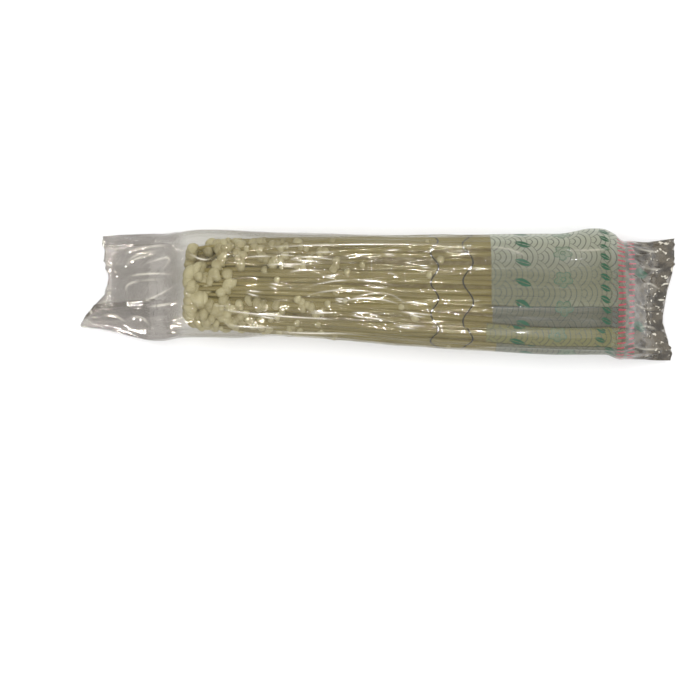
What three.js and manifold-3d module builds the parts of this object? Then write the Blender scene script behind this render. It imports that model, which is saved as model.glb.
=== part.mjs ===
// A bunch of enoki mushrooms, lying on its side in its printed clear film bag.
// Millimetres, +Z up. The caps point along -X and the cut root end along +X.
// The origin is the centre of the bag's footprint, on the surface that it rests on.
import * as THREE from 'three';
import { ParametricGeometry } from 'three/addons/geometries/ParametricGeometry.js';
import { mergeVertices } from 'three/addons/utils/BufferGeometryUtils.js';
import Module from 'manifold-3d';

const wasm = await Module();
wasm.setup();

// Driving dimensions of the bag. Each station is a cross-section of its outer surface.
const BAG_STATIONS = [
  { x: -112, yHigh: 24.0, yLow: -12.6, zLow: 2.4, zHigh: 4.4 },
  { x: -104, yHigh: 24.4, yLow: -13.6, zLow: 1.8, zHigh: 4.4 },
  { x: -97, yHigh: 24.6, yLow: -16.6, zLow: 1.0, zHigh: 6.4 },
  { x: -91, yHigh: 24.7, yLow: -18.0, zLow: 0.2, zHigh: 10.4 },
  { x: -85, yHigh: 24.6, yLow: -18.1, zLow: 0, zHigh: 17.4 },
  { x: -79, yHigh: 25.6, yLow: -17.4, zLow: 0, zHigh: 24.2 },
  { x: -71, yHigh: 26.7, yLow: -17.2, zLow: 0, zHigh: 27.4 },
  { x: -46, yHigh: 25.6, yLow: -17.8, zLow: 0, zHigh: 28.2 },
  { x: -15, yHigh: 25.0, yLow: -19.8, zLow: 0, zHigh: 29 },
  { x: 15, yHigh: 25.1, yLow: -22.0, zLow: 0, zHigh: 30 },
  { x: 44, yHigh: 25.4, yLow: -23.8, zLow: 0, zHigh: 30.8 },
  { x: 70, yHigh: 25.5, yLow: -25.4, zLow: 0, zHigh: 31.4 },
  { x: 90, yHigh: 26.4, yLow: -26.0, zLow: 0, zHigh: 31.8 },
  { x: 97, yHigh: 23.8, yLow: -25.6, zLow: 0, zHigh: 26 },
  { x: 104, yHigh: 21.4, yLow: -25.6, zLow: 0.6, zHigh: 16 },
  { x: 111, yHigh: 22.2, yLow: -26.0, zLow: 1.6, zHigh: 8 },
  { x: 116, yHigh: 23.2, yLow: -26.0, zLow: 2.4, zHigh: 5 },
];
const FILM = 0.6;
const REST_CUT = 0.9;
const SEAL_LENGTH = 5;
const BODY_START = -93;
const BODY_END = 98;

// Where the welded ends are cut, as x against y, from the bag's -Y edge to its +Y edge.
const CAP_END_CUT = [
  { y: -13, x: -119 },
  { y: -8, x: -116.5 },
  { y: -4, x: -111.5 },
  { y: 2, x: -109 },
  { y: 7, x: -107.6 },
  { y: 14, x: -109.2 },
  { y: 24, x: -110.8 },
];
const ROOT_END_CUT = [
  { y: -26, x: 117.5 },
  { y: -17, x: 116 },
  { y: -9, x: 114.4 },
  { y: 1, x: 116.8 },
  { y: 10, x: 118.8 },
  { y: 24, x: 119.4 },
];

// Driving dimensions of the bunch. Each station is a section through the outermost stems.
const BUNCH_STATIONS = [
  { x: -80, yHigh: 21.0, yLow: -12.4, zLow: 1.4, zHigh: 22.8 },
  { x: -70, yHigh: 22.2, yLow: -13.8, zLow: 1.4, zHigh: 24.4 },
  { x: -46, yHigh: 22.8, yLow: -15.4, zLow: 1.4, zHigh: 25.8 },
  { x: -15, yHigh: 23.2, yLow: -17.8, zLow: 1.4, zHigh: 27.2 },
  { x: 15, yHigh: 23.6, yLow: -20.4, zLow: 1.4, zHigh: 28.4 },
  { x: 44, yHigh: 23.9, yLow: -22.2, zLow: 1.4, zHigh: 29.2 },
  { x: 70, yHigh: 24.0, yLow: -23.6, zLow: 1.4, zHigh: 29.8 },
  { x: 92, yHigh: 23.6, yLow: -23.4, zLow: 1.4, zHigh: 29.4 },
];
const ROOT_FACE = 92;
const ROOT_MASS_START = 72;
const CORE_FRONT = -58;
const CORE_INSET = 1.7;
const ROOT_INSET = 0.4;
const CROWN = { front: -74.5, back: -60 };
const STEM_RADIUS = 1.5;
const STEM_SIDES = 5;
const CAP_SIDES = 6;
const SEED = 20117;

// Rings of mushrooms across the bunch, as a share of the section, from the outermost inwards.
const RINGS = [
  { share: 1, count: 34 },
  { share: 0.64, count: 14 },
  { share: 0.36, count: 8 },
  { share: 0.1, count: 3 },
];
// Of the outermost mushrooms, this share ends short of the crown.
const SHORT_SHARE = 0.3;
// Small mushrooms that push out between the outermost stems.
const PEEKING = { count: 20, first: -56, last: 24 };

// The same rounded-square section serves the bag and the bunch.
const SECTION_POWER = 2.5;
const SECTION_SAMPLES = 720;
const SECTION_WIDTH = 23;
const SECTION_HEIGHT = 14.5;

const rounded = (value) => Math.sign(value) * Math.abs(value) ** (2 / SECTION_POWER);
const mix = THREE.MathUtils.lerp;
const ease = THREE.MathUtils.smoothstep;

function seededRandom(seed) {
  let state = seed;
  return () => {
    state = (state * 16807) % 2147483647;
    return state / 2147483647;
  };
}

// Points of the unit section, with the length walked to each.
function walkSection() {
  const points = [{ p: 1, q: 0, walked: 0 }];
  for (let i = 1; i <= SECTION_SAMPLES; i++) {
    const angle = (2 * Math.PI * i) / SECTION_SAMPLES;
    const p = rounded(Math.cos(angle));
    const q = rounded(Math.sin(angle));
    const last = points[i - 1];
    const step = Math.hypot((p - last.p) * SECTION_WIDTH, (q - last.q) * SECTION_HEIGHT);
    points.push({ p, q, walked: last.walked + step });
  }
  return points;
}

const WALK = walkSection();

// The unit section at a share of its length, counted from +Y towards +Z.
function sectionAt(share) {
  const whole = share - Math.floor(share);
  const target = whole * WALK[SECTION_SAMPLES].walked;
  const next = Math.max(1, WALK.findIndex((point) => point.walked >= target));
  const before = WALK[next - 1];
  const after = WALK[next];
  const t = (target - before.walked) / (after.walked - before.walked);
  return { p: mix(before.p, after.p, t), q: mix(before.q, after.q, t) };
}

// Smooth reading of a table of stations at a place along it.
function readStations(stations, key, at, field) {
  const rising = (i) => stations[i][key];
  const last = stations.length - 1;
  const x = THREE.MathUtils.clamp(at, rising(0), rising(last));
  const i = Math.max(1, stations.findIndex((station) => station[key] >= x));
  const slope = (k) => {
    const a = Math.max(0, k - 1);
    const b = Math.min(last, k + 1);
    return (stations[b][field] - stations[a][field]) / (rising(b) - rising(a));
  };
  const span = rising(i) - rising(i - 1);
  const t = (x - rising(i - 1)) / span;
  const t2 = t * t;
  const t3 = t2 * t;
  return (
    (2 * t3 - 3 * t2 + 1) * stations[i - 1][field] +
    (t3 - 2 * t2 + t) * span * slope(i - 1) +
    (3 * t2 - 2 * t3) * stations[i][field] +
    (t3 - t2) * span * slope(i)
  );
}

function readSection(stations, x) {
  const read = (field) => readStations(stations, 'x', x, field);
  const [yHigh, yLow, zLow, zHigh] = ['yHigh', 'yLow', 'zLow', 'zHigh'].map(read);
  return {
    y: (yHigh + yLow) / 2,
    z: (zHigh + zLow) / 2,
    halfY: (yHigh - yLow) / 2,
    halfZ: (zHigh - zLow) / 2,
  };
}

// Slow swells of the loose film past the two ends of the bunch.
function tailWave(x, y) {
  const loose = ease(-x, -BODY_START, 108) + ease(x, BODY_END + 4, 114);
  const swell = Math.sin(0.21 * y + 0.16 * x) + 0.6 * Math.sin(0.43 * y - 0.11 * x + 1.2);
  return 0.7 * loose * swell;
}

// A point of the bag's surface, inset from its outside, at a share round the section.
// An opened value of 0 presses the section flat onto its own middle.
function bagPoint(x, share, inset, opened = 1) {
  const section = readSection(BAG_STATIONS, x);
  const { p, q } = sectionAt(share);
  const restCut = x > BODY_START + 4 && x < BODY_END ? REST_CUT : 0;
  const halfZ = section.halfZ + restCut / 2;
  const y = section.y + (section.halfY - inset) * p;
  const z = section.z - restCut / 2 + (halfZ - inset) * q * opened + tailWave(x, y);
  const lowEnd = BAG_STATIONS[0].x;
  const highEnd = BAG_STATIONS[BAG_STATIONS.length - 1].x;
  const capCut = readStations(CAP_END_CUT, 'y', y, 'x') - lowEnd;
  const rootCut = readStations(ROOT_END_CUT, 'y', y, 'x') - highEnd;
  const along = x + capCut * ease(-x, -BODY_START, -lowEnd) + rootCut * ease(x, BODY_END, highEnd);
  return [along, y, Math.max(z, inset)];
}

function evenly(from, to, steps) {
  return Array.from({ length: steps + 1 }, (_, i) => mix(from, to, i / steps));
}

// A closed skin: rings of points, each joined to the next. The two end rings are closed up.
function skin(rings, around) {
  const put = (u, v, target) => {
    const ring = rings[Math.round(v * (rings.length - 1))];
    target.set(...ring((Math.round(u * around) % around) / around));
  };
  return new ParametricGeometry(put, around, rings.length - 1);
}

// The film bag: welded shut at the root end, and pressed to a slit at the cap end.
function bagGeometry() {
  const around = 40;
  const lowEnd = BAG_STATIONS[0].x;
  const highEnd = BAG_STATIONS[BAG_STATIONS.length - 1].x;
  const weld = highEnd - SEAL_LENGTH;
  const inside = [...evenly(weld, 90, 4), ...evenly(80, -70, 6), ...evenly(-78, lowEnd, 7)];
  const outside = [...evenly(lowEnd, -78, 8), ...evenly(-66, 84, 7), ...evenly(90, highEnd, 6)];
  const rings = [
    (share) => bagPoint(weld, share, FILM, 0),
    ...inside.map((x) => (share) => bagPoint(x, share, FILM)),
    ...outside.map((x) => (share) => bagPoint(x, share, 0)),
    (share) => bagPoint(highEnd, share, 0, 0),
  ];
  return skin(rings, around);
}

// A point within the bunch, at a share round and a share out from its middle.
function bunchPoint(x, share, out, inset) {
  const section = readSection(BUNCH_STATIONS, x);
  const { p, q } = sectionAt(share);
  return new THREE.Vector3(
    x,
    section.y + Math.max(0, section.halfY - inset) * p * out,
    section.z + Math.max(0, section.halfZ - inset) * q * out,
  );
}

// The packed middle of the bunch, which swells into one mass at the roots.
function coreGeometry() {
  const around = 24;
  const ring = (x, inset) => (share) => {
    const dimple = ROOT_INSET * (1 + Math.sin(14 * Math.PI * share));
    const root = ease(x, ROOT_MASS_START - 8, ROOT_MASS_START + 6);
    return bunchPoint(x, share, 1, mix(inset, dimple, root)).toArray();
  };
  const middle = (x) => () => bunchPoint(x, 0, 0, 0).toArray();
  return skin(
    [
      middle(CORE_FRONT - 4),
      ring(CORE_FRONT - 2, 9),
      ring(CORE_FRONT, CORE_INSET),
      ring(0, CORE_INSET),
      ring(ROOT_MASS_START - 8, CORE_INSET),
      ring(ROOT_MASS_START + 6, CORE_INSET),
      ring(ROOT_FACE - 2, CORE_INSET),
      ring(ROOT_FACE, 2),
      middle(ROOT_FACE - 1),
    ],
    around,
  );
}

// Every mushroom of the bunch, by one seeded rule.
function layOutMushrooms() {
  const random = seededRandom(SEED);
  const mushrooms = [];
  RINGS.forEach(({ share, count }) => {
    for (let i = 0; i < count; i++) {
      const outer = share === 1;
      const short = random() < SHORT_SHARE && outer;
      const depth = random();
      const size = random();
      mushrooms.push({
        round: (i + 0.08 * random()) / count,
        out: share,
        capX: short
          ? mix(CROWN.back + 3, -20, depth ** 1.5)
          : mix(CROWN.front, CROWN.back, outer ? depth : 0.7 * depth),
        capRadius: short ? mix(1.9, 2.7, size) : mix(2.5, 4.1, size),
        stemRadius: STEM_RADIUS * mix(0.92, 1.04, random()),
        rootX: outer ? ROOT_MASS_START + 8 : CORE_FRONT + 5,
        sink: 0,
        tilt: mix(-0.35, 0.35, random()),
      });
    }
  });
  for (let i = 0; i < PEEKING.count; i++) {
    const capX = mix(PEEKING.first, PEEKING.last, random() ** 1.5);
    mushrooms.push({
      round: (i + 0.7 * random()) / PEEKING.count,
      out: 1,
      capX,
      capRadius: mix(1.6, 2.4, random()),
      stemRadius: 0.9,
      rootX: capX + 14,
      sink: 2,
      tilt: mix(-0.4, 0.4, random()),
    });
  }
  return mushrooms;
}

// How thick the bunch is at a place, against the reference section.
function girthAt(x) {
  const { halfY, halfZ } = readSection(BUNCH_STATIONS, x);
  return (halfY + halfZ) / (SECTION_WIDTH + SECTION_HEIGHT);
}

// The centre of a mushroom's stem. It lies on the outside of the bunch, and moves in for its cap.
function stemPoint(mushroom, x) {
  const { capX, capRadius, stemRadius, rootX, sink } = mushroom;
  const fromCap = ease(x, capX, capX + 10);
  const inset = mix(capRadius - 0.4, stemRadius * girthAt(x), fromCap) + 0.1;
  const sunk = sink * ease(x, capX + 2, rootX);
  return bunchPoint(x, mushroom.round, mushroom.out, inset + sunk);
}

function stemGeometry(mushroom) {
  const { capX, rootX } = mushroom;
  const steps = Math.max(1, Math.round((rootX - capX) / 48));
  const geometry = new THREE.CylinderGeometry(1, 1, 1, STEM_SIDES, steps);
  const position = geometry.getAttribute('position');
  const point = new THREE.Vector3();
  for (let i = 0; i < position.count; i++) {
    point.fromBufferAttribute(position, i);
    const centre = stemPoint(mushroom, mix(rootX, capX, point.y + 0.5));
    const radius = mushroom.stemRadius * girthAt(centre.x);
    position.setXYZ(i, centre.x, centre.y + radius * point.x, centre.z + radius * point.z);
  }
  return geometry;
}

function capGeometry(mushroom) {
  const r = mushroom.capRadius;
  const profile = [
    [0, -0.45 * r],
    [r, -0.2 * r],
    [0.7 * r, 0.6 * r],
    [0, 0.95 * r],
  ].map(([x, y]) => new THREE.Vector2(x, y));
  return new THREE.LatheGeometry(profile, CAP_SIDES)
    .rotateX(mushroom.tilt)
    .rotateZ(Math.PI / 2 + mushroom.tilt)
    .translate(...stemPoint(mushroom, mushroom.capX).toArray());
}

function toSolid(geometry) {
  geometry.deleteAttribute('normal');
  geometry.deleteAttribute('uv');
  const merged = mergeVertices(geometry, 1e-4);
  const index = Array.from(merged.index.array);
  const triVerts = [];
  for (let i = 0; i < index.length; i += 3) {
    const [a, b, c] = index.slice(i, i + 3);
    if (a !== b && b !== c && c !== a) triVerts.push(a, b, c);
  }
  const vertProperties = merged.getAttribute('position').array;
  const build = (corners) =>
    new wasm.Manifold(
      new wasm.Mesh({ numProp: 3, vertProperties, triVerts: new Uint32Array(corners) }),
    );
  const solid = build(triVerts);
  return solid.volume() > 0 ? solid : build(triVerts.reverse());
}

function toGeometry(solid) {
  const mesh = solid.getMesh();
  return new THREE.BufferGeometry()
    .setAttribute('position', new THREE.BufferAttribute(mesh.vertProperties, 3))
    .setIndex(new THREE.BufferAttribute(mesh.triVerts, 1));
}

// The bunch grew as one piece: stems and caps are fused to the core and the root mass.
function bunchSolid() {
  let bunch = toSolid(coreGeometry());
  layOutMushrooms().forEach((mushroom) => {
    bunch = bunch.add(toSolid(stemGeometry(mushroom))).add(toSolid(capGeometry(mushroom)));
  });
  // Pockets closed off between touching stems are filled with flesh.
  return bunch.decompose().find((piece) => piece.volume() > 0);
}

const mushroomFlesh = new THREE.MeshStandardMaterial({
  color: 0xd2c8a2,
  roughness: 0.55,
  metalness: 0,
});
const clearFilm = new THREE.MeshStandardMaterial({
  color: 0xaaa69c,
  roughness: 0.15,
  metalness: 0,
  transparent: true,
  opacity: 0.35,
});

function namedMesh(name, solid, material) {
  const mesh = new THREE.Mesh(toGeometry(solid).toNonIndexed(), material);
  mesh.geometry.computeVertexNormals();
  mesh.name = name;
  return mesh;
}

const bag = namedMesh('film_bag', toSolid(bagGeometry()), clearFilm);
const bunch = namedMesh('enoki_bunch', bunchSolid(), mushroomFlesh);

const pack = new THREE.Group();
pack.add(bunch, bag);

// Centre the bag's footprint on the origin.
const footprint = new THREE.Box3().setFromObject(bag);
const middle = footprint.getCenter(new THREE.Vector3());
pack.position.set(-middle.x, -middle.y, -footprint.min.z);

export default pack;
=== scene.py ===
"""A bunch of enoki mushrooms in its printed film bag, lying on its side."""
import math
from random import Random

import bmesh
import bpy
import numpy as np
from mathutils import Euler, Matrix, Vector, noise
from mathutils.bvhtree import BVHTree


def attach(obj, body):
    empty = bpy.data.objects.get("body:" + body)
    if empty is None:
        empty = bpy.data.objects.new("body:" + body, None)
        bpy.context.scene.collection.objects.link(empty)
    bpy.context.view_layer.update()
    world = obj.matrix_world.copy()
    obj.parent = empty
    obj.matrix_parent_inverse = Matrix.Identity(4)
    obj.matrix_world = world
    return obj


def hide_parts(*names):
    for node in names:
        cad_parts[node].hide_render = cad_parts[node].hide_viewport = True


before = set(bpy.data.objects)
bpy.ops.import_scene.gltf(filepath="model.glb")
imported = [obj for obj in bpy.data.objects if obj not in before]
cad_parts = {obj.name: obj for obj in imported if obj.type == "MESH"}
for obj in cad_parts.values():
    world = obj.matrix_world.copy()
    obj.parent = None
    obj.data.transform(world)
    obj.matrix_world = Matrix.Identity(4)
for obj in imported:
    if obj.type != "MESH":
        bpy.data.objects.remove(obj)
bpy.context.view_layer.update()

MM = 0.001

# The stations and cuts are in millimetres, about this point of the footprint.
FOOTPRINT_MIDDLE = Vector((0.28, 0.30, 0.0))

# Cross-sections of the bag: x, +Y edge, -Y edge, lowest z, highest z.
BAG_STATIONS = [
    (-112, 24.0, -12.6, 2.4, 4.4),
    (-104, 24.4, -13.6, 1.8, 4.4),
    (-97, 24.6, -16.6, 1.0, 6.4),
    (-91, 24.7, -18.0, 0.2, 10.4),
    (-85, 24.6, -18.1, 0, 17.4),
    (-79, 25.6, -17.4, 0, 24.2),
    (-71, 26.7, -17.2, 0, 27.4),
    (-46, 25.6, -17.8, 0, 28.2),
    (-15, 25.0, -19.8, 0, 29),
    (15, 25.1, -22.0, 0, 30),
    (44, 25.4, -23.8, 0, 30.8),
    (70, 25.5, -25.4, 0, 31.4),
    (90, 26.4, -26.0, 0, 31.8),
    (97, 23.8, -25.6, 0, 26),
    (104, 21.4, -25.6, 0.6, 16),
    (111, 22.2, -26.0, 1.6, 8),
    (116, 23.2, -26.0, 2.4, 5),
]
# Cross-sections through the outermost stems, in the same order.
BUNCH_STATIONS = [
    (-80, 21.0, -12.4, 1.4, 22.8),
    (-70, 22.2, -13.8, 1.4, 24.4),
    (-46, 22.8, -15.4, 1.4, 25.8),
    (-15, 23.2, -17.8, 1.4, 27.2),
    (15, 23.6, -20.4, 1.4, 28.4),
    (44, 23.9, -22.2, 1.4, 29.2),
    (70, 24.0, -23.6, 1.4, 29.8),
    (92, 23.6, -23.4, 1.4, 29.4),
]
# Where the two ends of the bag are cut: y, x.
CAP_END_CUT = [
    (-13, -119.8), (-8.6, -117.6), (-5.6, -112.8), (-2.4, -110.2), (3, -109.0), (7, -107.7),
    (10, -108.8), (14.2, -109.8), (18.1, -109.4), (24, -110.8),
]
ROOT_END_CUT = [
    (-26, 117.8), (-22.8, 118.4), (-17.2, 116.4), (-14.4, 114.9), (-4.3, 114.5),
    (0.8, 116.2), (7, 116.5), (8.8, 118.4), (13, 119.2), (24, 119.3),
]
BODY_START = -93
BODY_END = 98
# How far the film is cut away where it rests on the floor.
REST_CUT = 0.9
# Where the film is drawn in behind the cut root, on the +Y side.
ROOT_PINCH = {"x": 96.5, "half": 3.4, "depth": 2.4}

# The reference section: a rounded square with these half sizes, walked in this many steps.
SECTION_POWER = 2.5
SECTION_SAMPLES = 720
SECTION_WIDTH = 23
SECTION_HEIGHT = 14.5

# Where the cut root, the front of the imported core, and the crown's caps are along X.
ROOT_FACE = 91.4
CORE_FRONT = -56
CROWN_FRONT = -74.5
CROWN_BACK = -60


def mix(a, b, t):
    return a + (b - a) * t


def ease(value, low, high):
    t = min(1.0, max(0.0, (value - low) / (high - low)))
    return t * t * (3 - 2 * t)


def add_object(name, data):
    made = bpy.data.objects.new(name, data)
    bpy.context.scene.collection.objects.link(made)
    return made


# ---- Sections ----


def rounded(value):
    return math.copysign(abs(value) ** (2 / SECTION_POWER), value)


def walk_section():
    """The unit section's points, each with the length walked to it."""
    points = [(1.0, 0.0, 0.0)]
    for i in range(1, SECTION_SAMPLES + 1):
        angle = 2 * math.pi * i / SECTION_SAMPLES
        p, q = rounded(math.cos(angle)), rounded(math.sin(angle))
        last_p, last_q, walked = points[-1]
        step = math.hypot((p - last_p) * SECTION_WIDTH, (q - last_q) * SECTION_HEIGHT)
        points.append((p, q, walked + step))
    return np.array(points)


WALK = walk_section()


def section_at(share):
    """The unit section at a share of its length, counted from +Y towards +Z."""
    target = (share % 1) * WALK[-1, 2]
    return np.interp(target, WALK[:, 2], WALK[:, 0]), np.interp(target, WALK[:, 2], WALK[:, 1])


def read_stations(stations, at):
    """All fields of a table of stations, read smoothly at a place along it."""
    xs = [station[0] for station in stations]
    x = min(max(at, xs[0]), xs[-1])
    i = max(1, next(k for k, edge in enumerate(xs) if edge >= x))
    span = xs[i] - xs[i - 1]
    t = (x - xs[i - 1]) / span
    near = (2 * t**3 - 3 * t**2 + 1, 3 * t**2 - 2 * t**3)
    turn = ((t**3 - 2 * t**2 + t) * span, (t**3 - t**2) * span)

    def slope(k, field):
        a, b = max(0, k - 1), min(len(xs) - 1, k + 1)
        return (stations[b][field] - stations[a][field]) / (xs[b] - xs[a])

    return [
        near[0] * stations[i - 1][field]
        + near[1] * stations[i][field]
        + turn[0] * slope(i - 1, field)
        + turn[1] * slope(i, field)
        for field in range(1, len(stations[0]))
    ]


def read_section(stations, x):
    """The middle and half sizes of a section, across and up."""
    y_high, y_low, z_low, z_high = read_stations(stations, x)
    return (y_high + y_low) / 2, (z_high + z_low) / 2, (y_high - y_low) / 2, (z_high - z_low) / 2


def girth_at(x):
    """How thick the bunch is at a place, against the reference section."""
    _, _, half_y, half_z = read_section(BUNCH_STATIONS, x)
    return (half_y + half_z) / (SECTION_WIDTH + SECTION_HEIGHT)


def bunch_point(x, share, out, inset):
    """A point within the bunch, at a share round and a share out from its middle."""
    y, z, half_y, half_z = read_section(BUNCH_STATIONS, x)
    p, q = section_at(share)
    return Vector((x, y + max(0, half_y - inset) * p * out, z + max(0, half_z - inset) * q * out))


def to_frame(point):
    return (Vector(point) - FOOTPRINT_MIDDLE) * MM


# ---- Camera ----

# The photograph looks straight down on this point, and shows this much across.
LOOKED_AT = to_frame((-11.0, -21.8, 8.0))
FIELD = 0.280
CAMERA_HEIGHT = 0.80
SENSOR = 36.0

camera_data = bpy.data.cameras.new("camera")
camera_data.sensor_width = SENSOR
camera_data.lens = SENSOR * CAMERA_HEIGHT / FIELD
camera = add_object("camera", camera_data)
camera.location = LOOKED_AT + Vector((0, 0, CAMERA_HEIGHT))
bpy.context.scene.camera = camera


# ---- Node helpers ----


def feed(tree, socket, value):
    if isinstance(value, bpy.types.NodeSocket):
        tree.links.new(value, socket)
    else:
        socket.default_value = value


def place(tree, kind, links=None, **settings):
    made = tree.nodes.new(kind)
    for name, value in settings.items():
        setattr(made, name, value)
    for socket, value in (links or {}).items():
        feed(tree, made.inputs[socket], value)
    return made


def calc(tree, operation, *values):
    made = tree.nodes.new("ShaderNodeMath")
    made.operation = operation
    for socket, value in zip(made.inputs, values):
        feed(tree, socket, value)
    return made.outputs[0]


def product(tree, a, b):
    return calc(tree, "MULTIPLY", a, b)


def less(tree, a, b):
    return calc(tree, "SUBTRACT", a, b)


def scaled(tree, value, factor, added):
    return calc(tree, "MULTIPLY_ADD", value, factor, added)


def apart(tree, a, b):
    """How far apart two values are."""
    return calc(tree, "ABSOLUTE", less(tree, a, b))


def most(tree, *values):
    """The highest of some values."""
    highest = values[0]
    for value in values[1:]:
        highest = calc(tree, "MAXIMUM", highest, value)
    return highest


def ramp(tree, value, low, high, start=0.0, end=1.0):
    """A value eased from start to end between two limits."""
    made = place(tree, "ShaderNodeMapRange", interpolation_type="SMOOTHSTEP")
    for socket, number in zip(made.inputs, (value, low, high, start, end)):
        feed(tree, socket, number)
    return made.outputs[0]


def tint(tree, factor, a, b):
    """One colour mixed into another."""
    made = place(tree, "ShaderNodeMix", data_type="RGBA")
    for index, value in ((0, factor), (6, a), (7, b)):
        feed(tree, made.inputs[index], value)
    return made.outputs[2]


def attribute(tree, name):
    return place(tree, "ShaderNodeAttribute", attribute_name=name).outputs["Fac"]


def stretched_noise(tree, scale, detail=2.0):
    """Noise on Object coordinates, scaled on each axis in turns a metre."""
    where = place(tree, "ShaderNodeTexCoord").outputs["Object"]
    mapped = place(tree, "ShaderNodeMapping", {"Vector": where, "Scale": scale}).outputs[0]
    return place(
        tree, "ShaderNodeTexNoise", {"Vector": mapped, "Scale": 1.0, "Detail": detail}
    ).outputs["Fac"]


def bumped(tree, height, strength, distance):
    """The normal of a surface with this relief."""
    return place(
        tree, "ShaderNodeBump", {"Height": height, "Strength": strength, "Distance": distance}
    ).outputs[0]


def new_group(name, inputs, outputs):
    """A shader node group, what it is given, and where its results go, from labels and types."""
    tree = bpy.data.node_groups.new(name, "ShaderNodeTree")
    for in_out, sockets in (("INPUT", inputs), ("OUTPUT", outputs)):
        for label, kind in sockets.items():
            tree.interface.new_socket(label, in_out=in_out, socket_type="NodeSocket" + kind)
    return tree, place(tree, "NodeGroupInput").outputs, place(tree, "NodeGroupOutput").inputs


def new_material(name):
    material = bpy.data.materials.new(name)
    material.use_nodes = True
    tree = material.node_tree
    return material, tree, tree.nodes["Principled BSDF"]


# ---- Mushroom materials ----


def grown_flesh():
    """Colour, roughness and relief of mushroom flesh, shared by caps, stems and root, with painted
    shade by the depth attribute.
    """
    tree, given, result = new_group(
        "grown_flesh",
        {"Pale": "Color", "Deep": "Color", "Fibre Scale": "Vector", "Fibre Strength": "Float"},
        {"Color": "Color", "Roughness": "Float", "Height": "Float"},
    )
    fibres = stretched_noise(tree, given["Fibre Scale"], 3.0)
    blotches = stretched_noise(tree, (90, 160, 160))
    fibre = product(tree, ramp(tree, fibres, 0.35, 0.72), given["Fibre Strength"])
    blotch = ramp(tree, blotches, 0.4, 0.75, 0, 0.25)
    shade = scaled(tree, attribute(tree, "tone"), 0.35, calc(tree, "ADD", fibre, blotch))
    colour = tint(tree, calc(tree, "MINIMUM", shade, 0.85), given["Pale"], given["Deep"])
    # Painted shade: the flesh darkens towards a deep brown by the depth attribute, deep in the bunch.
    shadowed = tint(tree, attribute(tree, "depth"), colour, (0.10, 0.07, 0.032, 1))
    feed(tree, result["Color"], shadowed)
    feed(tree, result["Roughness"], ramp(tree, blotches, 0.3, 0.8, 0.32, 0.55))
    feed(tree, result["Height"], fibres)
    return tree


FLESH = grown_flesh()


def flesh_material(name, pale, deep, fibre_scale, fibre_strength, relief):
    material, tree, shader = new_material(name)
    given = {
        "Pale": (*pale, 1), "Deep": (*deep, 1),
        "Fibre Scale": fibre_scale, "Fibre Strength": fibre_strength,
    }
    flesh = place(tree, "ShaderNodeGroup", given, node_tree=FLESH).outputs
    feed(tree, shader.inputs["Base Color"], flesh["Color"])
    feed(tree, shader.inputs["Roughness"], flesh["Roughness"])
    feed(tree, shader.inputs["Normal"], bumped(tree, flesh["Height"], relief, 0.0004))
    shader.inputs["Specular IOR Level"].default_value = 0.2
    return material


cap_flesh = flesh_material(
    "cap_flesh", (0.54, 0.49, 0.295), (0.20, 0.16, 0.065), (260, 260, 260), 0.35, 0.3
)
stem_flesh = flesh_material(
    "stem_flesh", (0.265, 0.218, 0.078), (0.16, 0.125, 0.05), (45, 900, 900), 0.4, 0.4
)
root_flesh = flesh_material(
    "root_flesh", (0.24, 0.20, 0.095), (0.12, 0.085, 0.035), (300, 500, 500), 0.9, 1.0
)


# ---- Mushrooms ----

STEM_SIDES = 8
STEM_RINGS = 24
STEM_RADIUS = 1.45
CAP_SIDES = 16
# Share of the section and number of mushrooms, from the outermost ring inwards.
RINGS = [(1.0, 54), (0.86, 44), (0.66, 22), (0.44, 14), (0.2, 6)]
CAP_RADII = (2.6, 4.2)
# The share of outermost mushrooms whose caps end behind the crown, and the radii of those caps.
SHORT_SHARE = 0.35
SHORT_CAP_RADII = (1.7, 2.6)
# Small mushrooms that fill the crown, push out along the two flanks, and come up all round: how
# many, the first and last place along X, their caps' radii, and where round the section.
SMALL_ONES = [
    (52, -73, -52, (2.1, 3.2), [(0, 1)]),
    (84, -62, -16, (1.7, 2.7), [(0.02, 0.17), (0.31, 0.17)]),
    (34, -58, 30, (1.4, 2.2), [(0, 1)]),
]
# A pocket in the crown: x, y, its half sizes, how much lower its caps stand, and from what height up.
POCKET = {"x": -68.2, "y": 14.4, "half_x": 5.2, "half_y": 4.0, "depth": 5.5, "above": 12}
BUNCH_SEED = 2011
# Half a cap in section: distance from the stem's line, height towards the tip.
CAP_PROFILE = [
    (0, 0.88), (0.3, 0.84), (0.57, 0.7), (0.8, 0.46), (0.95, 0.14),
    (0.97, -0.16), (0.87, -0.42), (0.66, -0.56), (0.42, -0.52), (0, -0.4),
]


def grown(random, **given):
    """One mushroom: what the rule gives, and its own small differences."""
    return {
        **given,
        "phase": random.uniform(0, 2 * math.pi),
        "tilt": (random.uniform(-0.4, 0.4), random.uniform(-0.4, 0.4)),
        "squash": (random.uniform(0.86, 1.12), random.uniform(0.86, 1.12), random.uniform(0.8, 1.2)),
        "tone": random.random(),
    }


def full_grown(random):
    """The mushrooms that run from the cut root to the crown, and those that end short of it."""
    for out, count in RINGS:
        for i in range(count):
            outer = out == 1
            short = outer and random.random() < SHORT_SHARE
            depth, size = random.random(), random.random()
            if short:
                cap_x, cap_radius = mix(CROWN_BACK + 3, -20, depth**1.5), mix(*SHORT_CAP_RADII, size)
            else:
                cap_x = mix(CROWN_FRONT, CROWN_BACK, depth if outer else 0.55 * depth)
                cap_radius = mix(*CAP_RADII, size)
            yield grown(
                random,
                round=(i + 0.5 * random.random()) / count,
                out=out,
                cap_x=cap_x,
                cap_radius=cap_radius,
                stem_radius=STEM_RADIUS * random.uniform(0.85, 1.12),
                root_x=ROOT_FACE if out > 0.8 else 0,
                sunk=random.uniform(0, 0.6),
                sway=random.uniform(-0.011, 0.011),
            )


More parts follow.
